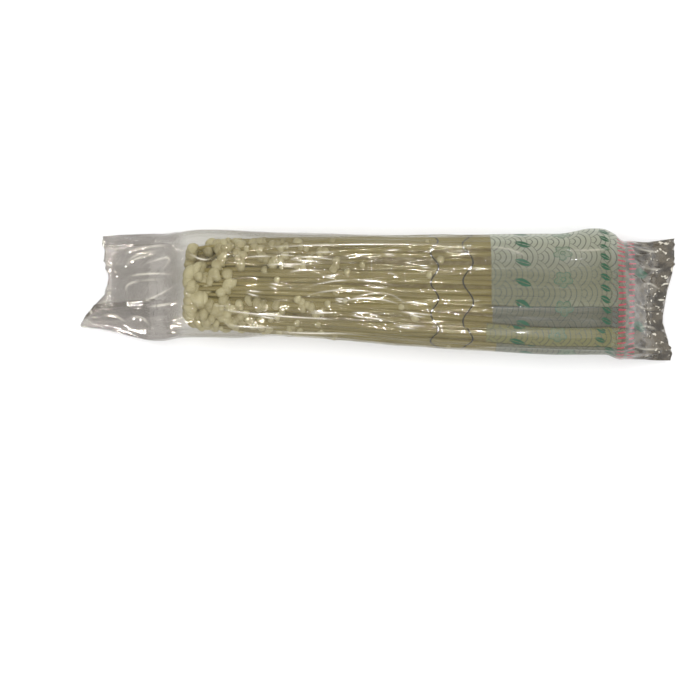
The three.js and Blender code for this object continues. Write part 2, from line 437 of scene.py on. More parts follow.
def small_ones(random, count, first, last, radii, shares):
    """Thin mushrooms whose caps push out between the outermost stems."""
    for _ in range(count):
        low, width = random.choice(shares)
        cap_x = mix(first, last, random.random() ** 1.4)
        yield grown(
            random,
            round=low + width * random.random(),
            out=1,
            cap_x=cap_x,
            cap_radius=random.uniform(*radii),
            stem_radius=random.uniform(0.7, 1.0),
            root_x=cap_x + random.uniform(16, 34),
            sunk=random.uniform(2.0, 2.8),
            sway=random.uniform(-0.006, 0.006),
        )


def lay_out_mushrooms():
    """Every mushroom of the bunch, by seeded rules."""
    random = Random(BUNCH_SEED)
    mushrooms = list(full_grown(random))
    for kind in SMALL_ONES:
        mushrooms += small_ones(random, *kind)
    for mushroom in mushrooms:
        centre = stem_centre(mushroom, mushroom["cap_x"])
        off_x = (centre.x - POCKET["x"]) / POCKET["half_x"]
        off_y = (centre.y - POCKET["y"]) / POCKET["half_y"]
        within = ease(-math.hypot(off_x, off_y), -1.25, -0.8)
        mushroom["low"] = POCKET["depth"] * within if centre.z > POCKET["above"] else 0
    return mushrooms


def stem_centre(mushroom, x):
    """The centre of a stem, which lies against its neighbours and moves in for its cap."""
    from_cap = ease(x, mushroom["cap_x"], mushroom["cap_x"] + 12)
    radius = mushroom["stem_radius"] * girth_at(x)
    inset = mix(mushroom["cap_radius"] - 0.4, radius, from_cap)
    inset += mushroom["sunk"] * ease(x, mushroom["cap_x"] + 2, mushroom["cap_x"] + 24)
    inset += mushroom.get("low", 0) * (1 - 0.8 * from_cap)
    sway = mushroom["sway"] * math.sin(0.045 * x + mushroom["phase"])
    return bunch_point(x, mushroom["round"] + sway, mushroom["out"], inset)


def mesh_of(bm, name):
    mesh = bpy.data.meshes.new(name)
    bm.to_mesh(mesh)
    bm.free()
    return mesh


def tube(sides, rings):
    """A closed tube along Z from -0.5 to 0.5, in even rings."""
    bm = bmesh.new()
    bmesh.ops.create_cone(bm, cap_ends=True, segments=sides, radius1=1, radius2=1, depth=1)
    lengthwise = [edge for edge in bm.edges if abs(edge.verts[0].co.z - edge.verts[1].co.z) > 0.5]
    bmesh.ops.subdivide_edges(bm, edges=lengthwise, cuts=rings - 1)
    return bm


def cap_template():
    """A cap with its rim rolled in, its tip along +Z."""
    bm = bmesh.new()
    chain = [bm.verts.new((radius, 0, height)) for radius, height in CAP_PROFILE]
    edges = [bm.edges.new(pair) for pair in zip(chain, chain[1:])]
    bmesh.ops.spin(
        bm, geom=chain + edges, axis=(0, 0, 1), cent=(0, 0, 0), angle=2 * math.pi,
        steps=CAP_SIDES, use_merge=True,
    )
    bmesh.ops.remove_doubles(bm, verts=bm.verts, dist=1e-5)
    bmesh.ops.recalc_face_normals(bm, faces=bm.faces)
    return mesh_of(bm, "cap_template")


def add_copy(bm, template, shape, tone, depth):
    """Adds a template to a piece, each of its points moved by shape, with its random tone and its
    painted shade (depth).
    """
    known = len(bm.verts)
    bm.from_mesh(template)
    bm.verts.ensure_lookup_table()
    tone_layer = bm.verts.layers.float.get("tone") or bm.verts.layers.float.new("tone")
    depth_layer = bm.verts.layers.float.get("depth") or bm.verts.layers.float.new("depth")
    for vert in bm.verts[known:]:
        vert.co = to_frame(shape(vert.co))
        vert[tone_layer] = tone
        vert[depth_layer] = depth


def new_piece(bm, name, material, slot, *replaced):
    """A finished piece: smooth, with its material, riding on the bag and bunch's one body."""
    for face in bm.faces:
        face.smooth = True
    piece = add_object(name, mesh_of(bm, name))
    piece.data.materials.append(material)
    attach(piece, "root")
    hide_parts(*replaced)


def stems_piece(mushrooms):
    template = mesh_of(tube(STEM_SIDES, STEM_RINGS), "stem_template")
    bm = bmesh.new()
    for mushroom in mushrooms:
        cap_x, root_x = mushroom["cap_x"], mushroom["root_x"]
        centres = {}

        def shape(point):
            t = round((point.z + 0.5) * STEM_RINGS) / STEM_RINGS
            if t not in centres:
                x = mix(cap_x, root_x, t)
                swell = 0.82 + 0.18 * ease(x, cap_x, cap_x + 30) + 0.12 * ease(x, 50, 90)
                centres[t] = stem_centre(mushroom, x), mushroom["stem_radius"] * girth_at(x) * swell
            centre, radius = centres[t]
            return centre + Vector((0, radius * point.x, radius * point.y))

        # Painted shade on stems of the rings nearer the middle.
        add_copy(bm, template, shape, mushroom["tone"], 0.35 * ease(-mushroom["out"], -0.9, -0.3))
    bmesh.ops.recalc_face_normals(bm, faces=bm.faces)
    bpy.data.meshes.remove(template)
    return bm


def caps_piece(mushrooms):
    template = cap_template()
    bm = bmesh.new()
    for mushroom in mushrooms:
        centre = stem_centre(mushroom, mushroom["cap_x"])
        tilt_y, tilt_z = mushroom["tilt"]
        turn = (
            Matrix.Translation(centre)
            @ Euler((0, tilt_y - math.pi / 2, tilt_z), "XYZ").to_matrix().to_4x4()
            @ Matrix.Diagonal((*mushroom["squash"], 1))
            @ Matrix.Scale(mushroom["cap_radius"], 4)
        )

        def shape(point):
            dent = 1 + 0.07 * noise.noise(point * 1.3 + Vector((0, 0, 40 * mushroom["tone"])))
            return turn @ (point * dent)

        # Painted shade on caps of the rings nearer the middle and on caps sunk in the crown's pocket.
        cap_painted_shade = max(0.25 * ease(-mushroom["out"], -0.9, -0.2), 0.2 * min(4, mushroom["low"]))
        add_copy(bm, template, shape, mushroom["tone"], cap_painted_shade)
    bpy.data.meshes.remove(template)
    return bm


CORE_AROUND = 96
CORE_RINGS = 60
# How far the core lies within the outermost stems, and where it starts to swell into the root mass.
CORE_INSET = 1.25
ROOT_MASS_START = 70


def core_piece():
    """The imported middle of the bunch, which swells into one mass with a cut face at the roots."""
    bm = tube(CORE_AROUND, CORE_RINGS)
    ends = [face for face in bm.faces if len(face.verts) > 4]
    for _ in range(3):
        bmesh.ops.inset_region(bm, faces=ends, thickness=0.22, use_even_offset=False)
    bmesh.ops.recalc_face_normals(bm, faces=bm.faces)
    tone = bm.verts.layers.float.new("tone")
    depth = bm.verts.layers.float.new("depth")
    for vert in bm.verts:
        t = vert.co.z + 0.5
        x = mix(CORE_FRONT, ROOT_FACE, t)
        share = math.atan2(vert.co.y, vert.co.x) / (2 * math.pi)
        out = math.hypot(vert.co.x, vert.co.y)
        root = ease(x, ROOT_MASS_START, ROOT_MASS_START + 12)
        angle = 2 * math.pi * share
        lump = noise.noise(Vector((0.25 * x, 14 * math.cos(angle), 14 * math.sin(angle))))
        narrow = CORE_INSET + 6.5 * ease(-x, 26, -CORE_FRONT)
        inset = mix(narrow, 1.1 + 0.6 * lump, root)
        point = bunch_point(x, share, out, inset)
        if t > 0.999:
            point.x += 0.9 * noise.noise(Vector((0, point.y, point.z)) * 0.3) - 0.8 * ease(out, 0.85, 1)
        if t < 0.001:
            point.x += 5 * out
        vert.co = to_frame(point)
        vert[tone] = 0.5 + 0.5 * lump
        # Painted shade on the core between the stems, less on the root mass.
        vert[depth] = mix(0.2, 0.1, root)
    return bm


mushrooms = lay_out_mushrooms()
stems = stems_piece(mushrooms)
caps = caps_piece(mushrooms)
core = core_piece()
contents = [BVHTree.FromBMesh(bm) for bm in (stems, caps, core)]
new_piece(stems, "enoki_stems", stem_flesh, "mushroom", "enoki_bunch")
new_piece(caps, "enoki_caps", cap_flesh, "mushroom", "enoki_bunch")
new_piece(core, "enoki_root", root_flesh, "mushroom", "enoki_bunch")


# ---- Film bag ----

FILM_AROUND = 364
# The points round the film stand closer together on top by this share, and wider apart below.
FILM_CROWDING = 0.3
FILM_LOW = BAG_STATIONS[0][0]
FILM_HIGH = BAG_STATIONS[-1][0]
SEAM_SHARE = 0.75
# The film laid flat, round the bag and along it, and the radius on which its wrinkles are laid out.
SHEET_AROUND = 150.0
SHEET_ALONG = 228.0
ROUND_RADIUS = SHEET_AROUND / 6.28
# The most that the film sinks in, the air it keeps from what it touches, how far it stands off
# where it doesn't stick, and how high its lowest points are.
LOOSEST = 2.6
CLEARANCE = 0.12
STANDING_OFF = 0.25
RESTING = 0.03
# Rays find the mushrooms under the film: how far outside it they start, how far they go, and the
# gap where they meet nothing.
RAY_START = 3.0
RAY_LENGTH = 12
NOTHING_NEAR = 9.0
# Long folds in the top layer: x and y at either end, overlap, width and height, and the strip
# beside the line, from and to a distance in Y, where painted shade darkens the two layers.
FOLDS = [
    {
        "start": (-113, -4.2), "end": (-80, -1.6), "overlap": 4.4, "width": 2.2, "height": 1.0,
        "shade": (-6.4, -0.6),
    },
    {
        "start": (-112, 20.0), "end": (-74, 20.6), "overlap": 2.4, "width": 1.5, "height": 0.8,
        "shade": (-0.3, 0.5),
    },
    {"start": (34, -5.0), "end": (97, -5.2), "overlap": 1.5, "width": 0.9, "height": 0.3},
    {"start": (30, -13.2), "end": (94, -13.6), "overlap": 1.6, "width": 0.9, "height": 0.3},
    {"start": (36, -20.4), "end": (100, -22.4), "overlap": 0.8, "width": 0.9, "height": 0.5},
]
# Sharp creases of the top layer, each with a painted highlight: three points each, as x and y, and how
# high they stand.
CREASES = [
    ((-102.3, 16.4), (-94, 19), (-80, 19.6), 0.45),
    ((-101.6, 11.5), (-96.5, 14.8), (-85.4, 16.6), 0.5),
    ((-101.2, 13.6), (-95, 16.6), (-86.3, 17.5), 0.35),
    ((-94.1, 11.9), (-83, 14.6), (-85.4, 9.6), 0.5),
    ((-100.2, 0.6), (-98.4, 5.2), (-83.4, 6), 0.45),
    ((-101.4, -3.2), (-90, -1.2), (-78.2, 4.6), 0.5),
    ((-92.2, -4.5), (-85, -4), (-78, -2.6), 0.45),
    ((-101, -9.6), (-97.5, -14), (-91.2, -12.6), 0.4),
    ((-101, -9.4), (-95, -8.8), (-91, -12.4), 0.35),
    ((-111, -8.6), (-105, -8.2), (-99.8, -13), 0.35),
    ((-102, 7), (-92, 8.6), (-79, 7.6), 0.3),
    ((-76, 4), (-70, -3), (-52, -4.4), 0.4),
    ((-78, 19.6), (-70, 14), (-64, 14.8), 0.4),
    ((-66, -4.6), (-40, -8.4), (14, -10.8), 0.55),
    ((-54, 14), (-46, 14.9), (-34, 14.2), 0.4),
    ((-46, 11.2), (-36, 11.8), (-22, 11.4), 0.4),
    ((-53, 17.8), (-10, 19.6), (44, 18.9), 0.5),
    ((-33, 13.1), (-26, 14.6), (-10, 12), 0.4),
    ((-35, 7.5), (-30, 9.4), (-16, 8.6), 0.4),
    ((-34, 0.6), (-10, 5.6), (14, 1), 0.5),
    ((-30, -1.2), (-14, 1.6), (4, -0.4), 0.4),
    ((-14, 5.8), (-4, 5.2), (8, 4.6), 0.4),
    ((-22, -5.8), (-4, -1.6), (14, -6.5), 0.45),
    ((-20, -6.5), (2, 0.4), (13, -9.8), 0.6),
    ((-44, -14.4), (-26, -15.2), (-4, -15.2), 0.4),
    ((-62, -11.4), (-50, -12.8), (-36, -12.4), 0.4),
    ((40, 18.6), (52, 17.4), (58, 13.6), 0.35),
    ((74, 17.6), (84, 17.2), (92, 18.6), 0.35),
    ((101, 19.6), (108, 17.6), (114, 18), 0.35),
    ((103, 12), (110, 10.4), (116, 11.6), 0.35),
    ((104, 3.4), (109, 4.6), (114, 1.6), 0.3),
    ((101, -3), (107, -5.4), (112, -4), 0.3),
    ((103, -13.4), (108, -12.4), (113, -14.4), 0.35),
    ((101, -20.6), (108, -21.6), (114, -21), 0.35),
]
# Short creases scattered over the stems: how many, where their middles may be, the share of them
# that come in pairs, and their seed.
SHORT_CREASES = {"count": 26, "x": (-50, 22), "y": (-13, 17), "paired": 0.4, "seed": 88}
# The width of a crease, and the share of its given height that it stands up.
CREASE_WIDTH = 0.7
CREASE_SHARE = 0.9
# What each point of the film has besides x, y and z: whether it is on top, its painted highlight, and
# its painted shade.
ON_TOP, PAINTED_GLINT, SHADED = 3, 4, 5


def film_stations():
    """Where the film's rings are along X, closest together at the loose ends."""
    return np.concatenate([
        np.linspace(FILM_LOW, -76, 66),
        np.linspace(-76, 94, 166)[1:],
        np.linspace(94, FILM_HIGH, 42)[1:],
    ])


def film_shares():
    """Where the points of each ring are round the bag, from the seam on."""
    even = SEAM_SHARE - 1 + np.arange(FILM_AROUND) / FILM_AROUND
    return even - FILM_CROWDING * np.sin(2 * np.pi * (even - 0.25)) / (2 * np.pi)


FILM_XS = film_stations()
FILM_SHARES = film_shares()


def eased_along(low, high):
    """An ease along the bag, as a column with one value for each ring of the film."""
    return np.array([ease(x, low, high) for x in FILM_XS])[:, None]


def opened_at(x):
    """How far the two layers stand apart, against the stations: pressed together at the welds."""
    return mix(0.16, 1, ease(x, -109, -96)) * mix(1, 0.2, ease(x, 106, 113))


def tail_wave(x, y):
    loose = ease(-x, -BODY_START, 108) + ease(x, BODY_END + 4, 114)
    return 0.28 * loose * (np.sin(0.21 * y + 0.16 * x) + 0.6 * np.sin(0.43 * y - 0.11 * x + 1.2))


def film_base():
    """The film's smooth shape, in rings of points."""
    p, q = section_at(FILM_SHARES)
    cap_cut, root_cut = np.array(CAP_END_CUT).T, np.array(ROOT_END_CUT).T
    base = np.empty((len(FILM_XS), FILM_AROUND, 3))
    for row, x in enumerate(FILM_XS):
        y, z, half_y, half_z = read_section(BAG_STATIONS, x)
        on_floor = ease(x, BODY_START - 2, BODY_START + 9) * (1 - ease(x, BODY_END - 6, BODY_END + 2))
        rest = REST_CUT * on_floor
        pinch = ROOT_PINCH["depth"] * math.exp(-(((x - ROOT_PINCH["x"]) / ROOT_PINCH["half"]) ** 2))
        across = y + (half_y - pinch * np.maximum(p, 0)) * p
        base[row, :, 1] = across
        base[row, :, 2] = z - rest / 2 + (half_z + rest / 2) * q * opened_at(x) + tail_wave(x, across)
        base[row, :, 0] = (
            x
            + (np.interp(across, *cap_cut) - FILM_LOW) * ease(-x, -BODY_START, -FILM_LOW)
            + (np.interp(across, *root_cut) - FILM_HIGH) * ease(x, BODY_END, FILM_HIGH)
        )
        ragged = 0.5 * ease(-x, 105, 112) + 0.5 * ease(x, 110, 116)
        ragged = ragged * np.sin(1.9 * across + 0.8 * np.sin(0.9 * across))
        base[row, :, 0] += ragged * np.sin(0.37 * across)
    base[:, :, 1:] = smoothed_along(base[:, :, 1:], 10)
    base[:, :, 2] = np.maximum(base[:, :, 2], 0)
    return base


def film_normals(base):
    along = np.gradient(base, axis=0)
    around = np.roll(base, -1, axis=1) - np.roll(base, 1, axis=1)
    normals = np.cross(around, along)
    return normals / np.maximum(np.linalg.norm(normals, axis=2, keepdims=True), 1e-9)


def smoothed_along(field, times):
    for _ in range(times):
        padded = np.concatenate([field[:1], field, field[-1:]])
        field = (padded[:-2] + 2 * padded[1:-1] + padded[2:]) / 4
    return field


def blurred(field, along, around):
    """A field smoothed over some rings along and some points round."""
    field = smoothed_along(field, along)
    for _ in range(around):
        field = (np.roll(field, 1, axis=1) + 2 * field + np.roll(field, -1, axis=1)) / 4
    return field


def film_gap(base, normals):
    """How far the film may move in before it touches the mushrooms."""
    gap = np.full(base.shape[:2], NOTHING_NEAR)
    for at in np.ndindex(gap.shape):
        normal = Vector(normals[at])
        start = to_frame(base[at]) + normal * RAY_START * MM
        for surface in contents:
            distance = surface.ray_cast(start, -normal, RAY_LENGTH * MM)[3]
            if distance is not None:
                gap[at] = min(gap[at], distance / MM - RAY_START)
    return gap


def contact_field(base):
    """Where the film sticks to the mushrooms: long patches with sharp edges."""
    field = np.zeros(base.shape[:2])
    for at in np.ndindex(field.shape):
        x, y, z = base[at]
        field[at] = noise.noise(Vector((x / 26 + 5, y / 3.2, z / 3.2)))
    return np.clip(field / 0.4 + 0.5, 0, 1)


def wrinkle_field():
    """Thin ridges that run along the bag, wander and fork, in millimetres."""
    field = np.zeros((len(FILM_XS), FILM_AROUND))
    for row, x in enumerate(FILM_XS):
        cap_tail = ease(-x, 78, 92)
        root_tail = ease(x, 93, 103)
        printed = ease(x, 36, 52)
        welded = ease(-x, 104, 109) + ease(x, 110, 114)
        for column, share in enumerate(FILM_SHARES):
            angle = 2 * math.pi * share
            round_y, round_z = math.cos(angle) * ROUND_RADIUS, math.sin(angle) * ROUND_RADIUS
            swell = noise.noise(Vector((x / 26, round_y / 5.4, round_z / 5.4)))
            ripple = noise.noise(Vector((x / 9 + 9, round_y / 1.7, round_z / 1.7)))
            crease_line = noise.noise(Vector((x / 30 + 3, round_y / 3.2, round_z / 3.2)))
            crease = max(0, 1 - abs(crease_line) / 0.4) ** 2
            body = (0.2 * max(0, swell + 0.2) + 0.02 * ripple + 0.12 * crease) * (1 - 0.55 * printed)
            crumple = 0.0
            if root_tail > 0:
                where = Vector((x / 9.0, round_y / 5.5, round_z / 5.5))
                small = Vector((x / 3.6, round_y / 2.6, round_z / 2.6 + 7))
                near, far = noise.voronoi(where)[0][:2]
                crumple = 1.5 * (far - near) + 0.9 * noise.voronoi(small)[0][0] - 0.9
            field[row, column] = (
                body * (1 - 0.2 * cap_tail) * (1 - root_tail) + 2.2 * root_tail * crumple
            ) * (1 - welded)
    return field


def weld_crinkle(x, y, reach):
    """How far both layers of a welded end are bent up or down together."""
    small = noise.noise(Vector((x / 2.0, y / 1.7, 0)))
    wide = noise.noise(Vector((x / 9, y / 7, 5)))
    return reach * (0.42 * small + 0.7 * wide)


def short_creases():
    """Seeded creases like those listed: nearly along the bag, bent a little, some in pairs."""
    random = Random(SHORT_CREASES["seed"])
    made = []
    for _ in range(SHORT_CREASES["count"]):
        x, y = random.uniform(*SHORT_CREASES["x"]), random.uniform(*SHORT_CREASES["y"])
        half, slant, bend = random.uniform(2, 8), random.uniform(-0.9, 0.9), random.uniform(-0.9, 0.9)
        height = random.uniform(0.25, 0.4)
        start = (x - half, y - slant)
        made.append((start, (x, y + bend), (x + half, y + slant), height))
        if random.random() < SHORT_CREASES["paired"]:
            made.append((start, (x - 0.2 * half, y - 1.2), (x + 0.6 * half, y - 1.5), height))
    return made


def creased(points, crease):
    """Raises a sharp ridge of the top layer along a curve through three points, and paints a highlight
    along it.
    """
    *corners, height = crease
    start, middle, end = (np.array(corner) for corner in corners)
    handle = 2 * middle - (start + end) / 2
    t = np.linspace(0, 1, 28)[:, None]
    line = start * (1 - t) ** 2 + 2 * handle * t * (1 - t) + end * t**2
    x, y = points[..., 0], points[..., 1]
    near = (
        (x > line[:, 0].min() - 2) & (x < line[:, 0].max() + 2)
        & (y > line[:, 1].min() - 2) & (y < line[:, 1].max() + 2) & (points[..., ON_TOP] > 0)
    )
    places = np.stack([x[near], y[near]], axis=1)[:, None]
    a, run = line[:-1], np.diff(line, axis=0)
    reach = np.einsum("pij,ij->pi", places - a, run) / np.einsum("ij,ij->i", run, run)
    reach = np.clip(reach, 0, 1)
    away = np.linalg.norm(places - (a + reach[..., None] * run), axis=2)
    nearest = away.argmin(axis=1)
    index = np.arange(len(nearest))
    along = (nearest + reach[index, nearest]) / len(run)
    taper = np.sqrt(np.clip(4 * along * (1 - along), 0, 1))
    ridge = np.exp(-((away[index, nearest] / CREASE_WIDTH) ** 2))
    lift = ridge * taper * points[..., ON_TOP][near]
    points[..., 2][near] += CREASE_SHARE * height * lift
    # A painted highlight along the ridge.
    points[..., PAINTED_GLINT][near] = np.maximum(points[..., PAINTED_GLINT][near], lift**3.2)
    return points


def folded(points, fold):
    """Lays the top layer over itself along one line, by overlap on both sides of it, and paints shade
    on a strip beside the line where one is given.
    """
    (x0, y0), (x1, y1) = fold["start"], fold["end"]
    x, y, z = points[..., 0], points[..., 1], points[..., 2]
    t = (y - (y0 + (y1 - y0) * (x - x0) / (x1 - x0))) / fold["width"]
    ends = np.clip((x - x0) / 8 + (fold["start"][0] < -100), 0, 1) * np.clip((x1 - x) / 12, 0, 1)
    if "shade" in fold:
        low, high = fold["shade"]
        beside = t * fold["width"]
        strip = np.clip((beside - low) / 0.7 + 0.5, 0, 1) * np.clip((high - beside) / 0.7 + 0.5, 0, 1)
        points[..., SHADED] = np.maximum(points[..., SHADED], strip * ends * points[..., ON_TOP])
    top = points[..., ON_TOP] * ends * np.exp(-0.5 * t**2)
    y -= fold["overlap"] * t * top
    z += fold["height"] * np.clip(1 - t, 0, 2) * top
    return points


def lowest_near(field, columns):
    """The least value of a field within some columns of each point."""
    return np.minimum.reduce([np.roll(field, shift, axis=1) for shift in range(-columns, columns + 1)])


def held_off():
    """How far the film is held off the mushrooms, as a share: beside the caps, and at a root corner."""
    far_edge, near_edge = 1 - eased_along(-34, 16), 1 - eased_along(-58, -36)
    root_corner = eased_along(70, 84)
    return (
        0.75 * far_edge * np.exp(-(((FILM_SHARES - 0.02) / 0.07) ** 2))
        + 0.85 * near_edge * np.exp(-(((FILM_SHARES - 0.475) / 0.07) ** 2))
        + 0.95 * root_corner * np.exp(-(((FILM_SHARES - 0.01) / 0.07) ** 2))
    )


def film_surface():
    """The film's points in rings, and for each one its painted highlight along creases and its painted
    shade where fold lines and loose edges lay the film in two layers.
    """
    base = film_base()
    normals = film_normals(base)
    hold = eased_along(-86, -76) * (1 - eased_along(90, 97))
    gap = film_gap(base, normals)
    spanning = blurred(np.clip(lowest_near(gap, 5), 0, LOOSEST), 6, 12)
    between = np.clip(blurred(np.clip(gap, 0, LOOSEST + 0.5), 1, 1) - spanning, 0, 0.06)
    sticking = contact_field(base) * (1 - 0.8 * eased_along(36, 52))
    slack = spanning + mix(-STANDING_OFF, between, sticking)
    slack = slack * hold * (1 - held_off())
    settled = np.where(hold > 0, np.minimum(slack, np.maximum(gap - CLEARANCE, -1.5)), 0)
    relief = wrinkle_field()
    # Past the bunch the creases only lift or lower the film, so that its edges stay where they are.
    relief = relief * (1 - eased_along(93, 98) * (1 - normals[..., 2] ** 2))
    surface = base + normals * (relief - settled)[..., None]
    upper = np.clip(4 * normals[..., 2:3] - 0.6, 0, 1)
    # Painted shade where the film hangs loose beside the caps and at a root corner, seen in two layers.
    loose_edge_painted_shade = held_off() * (1 - eased_along(40, 60))
    sheet = np.concatenate([surface, upper, np.zeros_like(upper), 0.9 * loose_edge_painted_shade[..., None]], axis=2)
    for fold in FOLDS:
        sheet = folded(sheet, fold)
    for crease in CREASES + short_creases():
        sheet = creased(sheet, crease)
    surface = sheet[..., :3]
    for row, x in enumerate(FILM_XS):
        reach = ease(-x, 104, 109) + ease(x, 104, 112)
        if reach > 0:
            for column in range(FILM_AROUND):
                surface[row, column, 2] += weld_crinkle(*surface[row, column, :2], reach)
    surface[..., 2] = np.maximum(surface[..., 2], RESTING)
    return surface, sheet[..., PAINTED_GLINT], sheet[..., SHADED]


def film_piece(material):
    surface, painted_glint, shaded = film_surface()
    rows = len(FILM_XS)
    rounds = np.append(FILM_SHARES + 1 - SEAM_SHARE, 1.0)
    bm = bmesh.new()
    bmesh.ops.create_grid(bm, x_segments=FILM_AROUND, y_segments=rows - 1, size=1)
    sheet_uv = bm.loops.layers.uv.new("sheet")
    glint_layer = bm.verts.layers.float.new("painted_glint")
    shade = bm.verts.layers.float.new("shaded")
    places = {}
    for vert in bm.verts:
        column = round((vert.co.x + 1) / 2 * FILM_AROUND)
        row = round((vert.co.y + 1) / 2 * (rows - 1))
        places[vert] = (rounds[column], (FILM_XS[row] - FILM_LOW) / (FILM_HIGH - FILM_LOW))
        vert.co = to_frame(surface[row, column % FILM_AROUND])
        vert[glint_layer] = painted_glint[row, column % FILM_AROUND]
        vert[shade] = shaded[row, column % FILM_AROUND]
    for face in bm.faces:
        for loop in face.loops:
            loop[sheet_uv].uv = places[loop.vert]
    bmesh.ops.remove_doubles(bm, verts=bm.verts, dist=1e-7)
    rims = [edge for edge in bm.edges if edge.is_boundary]
    for side in (-1, 1):
        rim = [edge for edge in rims if edge.verts[0].co.x * side > 0]
        bmesh.ops.triangle_fill(bm, edges=rim, use_beauty=True, normal=(side, 0, 0))
    bmesh.ops.recalc_face_normals(bm, faces=bm.faces)
    new_piece(bm, "film_bag_printed", material, "film", "film_bag")


# Where the print starts and ends along X, and the size of its round scales.
PRINT_START = 44.1
PRINT_END = 93.0
SCALE_RADIUS = SHEET_AROUND / 18
# Rows of the print: the middle along X, the pitch round the bag, and the motif's length and width.
LEAF_ROWS = [(56.5, 9.375, 7, 3.6), (89, 4.6875, 5.2, 3)]
TAIL_LEAVES = (104, 25, 6, 5)
STROKE_ROWS = [(95.6, 2.5, 3, 0.9), (100, 2.5, 3, 0.9)]
# The blossoms' middle along X, pitch and radius.
BLOSSOM_ROW = (72, 12.5, 3.6)
# Two thin lines round the bag: the middle along X, how far each swings, and its number of waves.
WAVY_LINES = [(22, 1.5, 10), (35, 2, 8)]
# The lap seam's middle round the bag and its width, and the width of the painted shade lines where the
# panels meet.
LAP = (6, 8)
FOLD_SHADE_WIDTH = 0.35
# Panels that the folds part in the printed band: where each starts and ends round the bag,
# how far its print is shifted, and its tint.
PANELS = [
    {"from": 80.2, "to": 89.1, "shift": 0.4, "tint": (0.105, 0.112, 0.088, 1)},
    {"from": 89.1, "to": 99.8, "shift": -2, "tint": (0.186, 0.182, 0.078, 1)},
    {"from": 99.8, "to": 122, "shift": 2.2, "tint": (0.150, 0.155, 0.115, 1)},
]


def length_of(tree, a, b):
    return calc(tree, "SQRT", calc(tree, "ADD", product(tree, a, a), product(tree, b, b)))


def wave_row():
    """One row of overlapping round scales: is a point inside one, and how far from its centre."""
    tree, given, result = new_group(
        "wave_row",
        {"Across": "Float", "Up": "Float", "Row": "Float"},
        {"Inside": "Float", "Distance": "Float"},
    )
    nearest = calc(tree, "FLOOR", calc(tree, "DIVIDE", given["Up"], SCALE_RADIUS / 2))
    row = calc(tree, "ADD", nearest, given["Row"])
    shift = product(tree, calc(tree, "FLOORED_MODULO", row, 2), SCALE_RADIUS)
    beside = calc(tree, "PINGPONG", apart(tree, given["Across"], shift), SCALE_RADIUS)
    above = less(tree, given["Up"], product(tree, row, SCALE_RADIUS / 2))
    distance = length_of(tree, beside, above)
    feed(tree, result["Inside"], calc(tree, "LESS_THAN", distance, SCALE_RADIUS))
    feed(tree, result["Distance"], distance)
    return tree


def wave_lines(tree, across, up):
    """A mask of thin arcs: rows of overlapping round scales, each with rings inside it."""
    rows = wave_row()
    distance = 0.0
    for step in (2, 1, 0, -1):
        given = {"Across": across, "Up": up, "Row": step}
        row = place(tree, "ShaderNodeGroup", given, node_tree=rows).outputs
        kept = product(tree, distance, less(tree, 1, row["Inside"]))
        distance = scaled(tree, row["Distance"], row["Inside"], kept)
    ring = calc(tree, "PINGPONG", distance, SCALE_RADIUS / 8)
    return ramp(tree, ring, 0.10, 0.30, 1, 0)


def repeat(tree, across, pitch):
    """How far a point is from the middle of its motif, in a row with one each pitch round the bag."""
    return less(tree, calc(tree, "FLOORED_MODULO", across, pitch), pitch / 2)


def leaf_mask(tree, across, along, middle, pitch, length, width):
    """A row of pointed leaves round the bag."""
    forward = less(tree, along, middle)
    lean = scaled(tree, forward, -0.35, repeat(tree, across, pitch))
    share = calc(tree, "DIVIDE", forward, length / 2)
    breadth = scaled(tree, product(tree, share, share), -width / 2, width / 2)
    off_vein = calc(tree, "ABSOLUTE", lean)
    blade = ramp(tree, less(tree, breadth, off_vein), 0, 0.25)
    return product(tree, blade, ramp(tree, off_vein, 0.08, 0.22))


def stroke_mask(tree, across, along, middle, pitch, length, width):
    """A row of short slanted strokes round the bag."""
    forward = less(tree, along, middle)
    lean = scaled(tree, forward, 0.3, repeat(tree, across, pitch))
    inside = calc(
        tree, "MINIMUM",
        less(tree, length / 2, calc(tree, "ABSOLUTE", forward)),
        less(tree, width / 2, calc(tree, "ABSOLUTE", lean)),
    )
    return ramp(tree, inside, 0, 0.2)


def blossom_masks(tree, across, along, middle, pitch, radius):
    """A row of five-petalled blossoms round the bag: their insides and their outlines."""
    beside = repeat(tree, across, pitch)
    forward = less(tree, along, middle)
    distance = length_of(tree, beside, forward)
    turned = product(tree, calc(tree, "ARCTAN2", forward, beside), 5 / 2)
    petals = calc(tree, "ABSOLUTE", calc(tree, "COSINE", turned))
    reach = scaled(tree, petals, 0.35 * radius, 0.65 * radius)
    rim = ramp(tree, apart(tree, reach, distance), 0.10, 0.30, 1, 0)
    heart = ramp(tree, apart(tree, distance, 0.25 * radius), 0.08, 0.25, 1, 0)
    return ramp(tree, less(tree, reach, distance), 0, 0.2), most(tree, rim, heart)


def stripe_mask(tree, along, middle, width):
    return ramp(tree, apart(tree, along, middle), width / 2, width / 2 + 0.2, 1, 0)


def wavy_line(tree, across, along, middle, swing, turns):
    """A thin line that waves round the bag, with a whole number of turns."""
    phase = product(tree, across, 2 * math.pi * turns / SHEET_AROUND)
    wander = scaled(tree, calc(tree, "SINE", phase), swing, middle)
    return stripe_mask(tree, less(tree, along, wander), 0, 0.4)


def film_relief(tree, along, welded):
    """The height of the film's fine wrinkles: outlines of patches that stick, and small loops."""
    patches = ramp(tree, stretched_noise(tree, (36, 260, 260), 1), 0.42, 0.58)
    loops = ramp(tree, stretched_noise(tree, (100, 600, 600), 1), 0.45, 0.65)
    somewhere = ramp(tree, stretched_noise(tree, (30, 60, 60)), 0.45, 0.6, 0, 0.4)
    wrinkles = calc(tree, "ADD", patches, product(tree, loops, somewhere))
    calm = ramp(tree, along, 34, 50, 1, 0.2)
    sealed = product(tree, welded, stretched_noise(tree, (420, 600, 600), 2))
    return scaled(tree, wrinkles, calm, product(tree, sealed, 5))


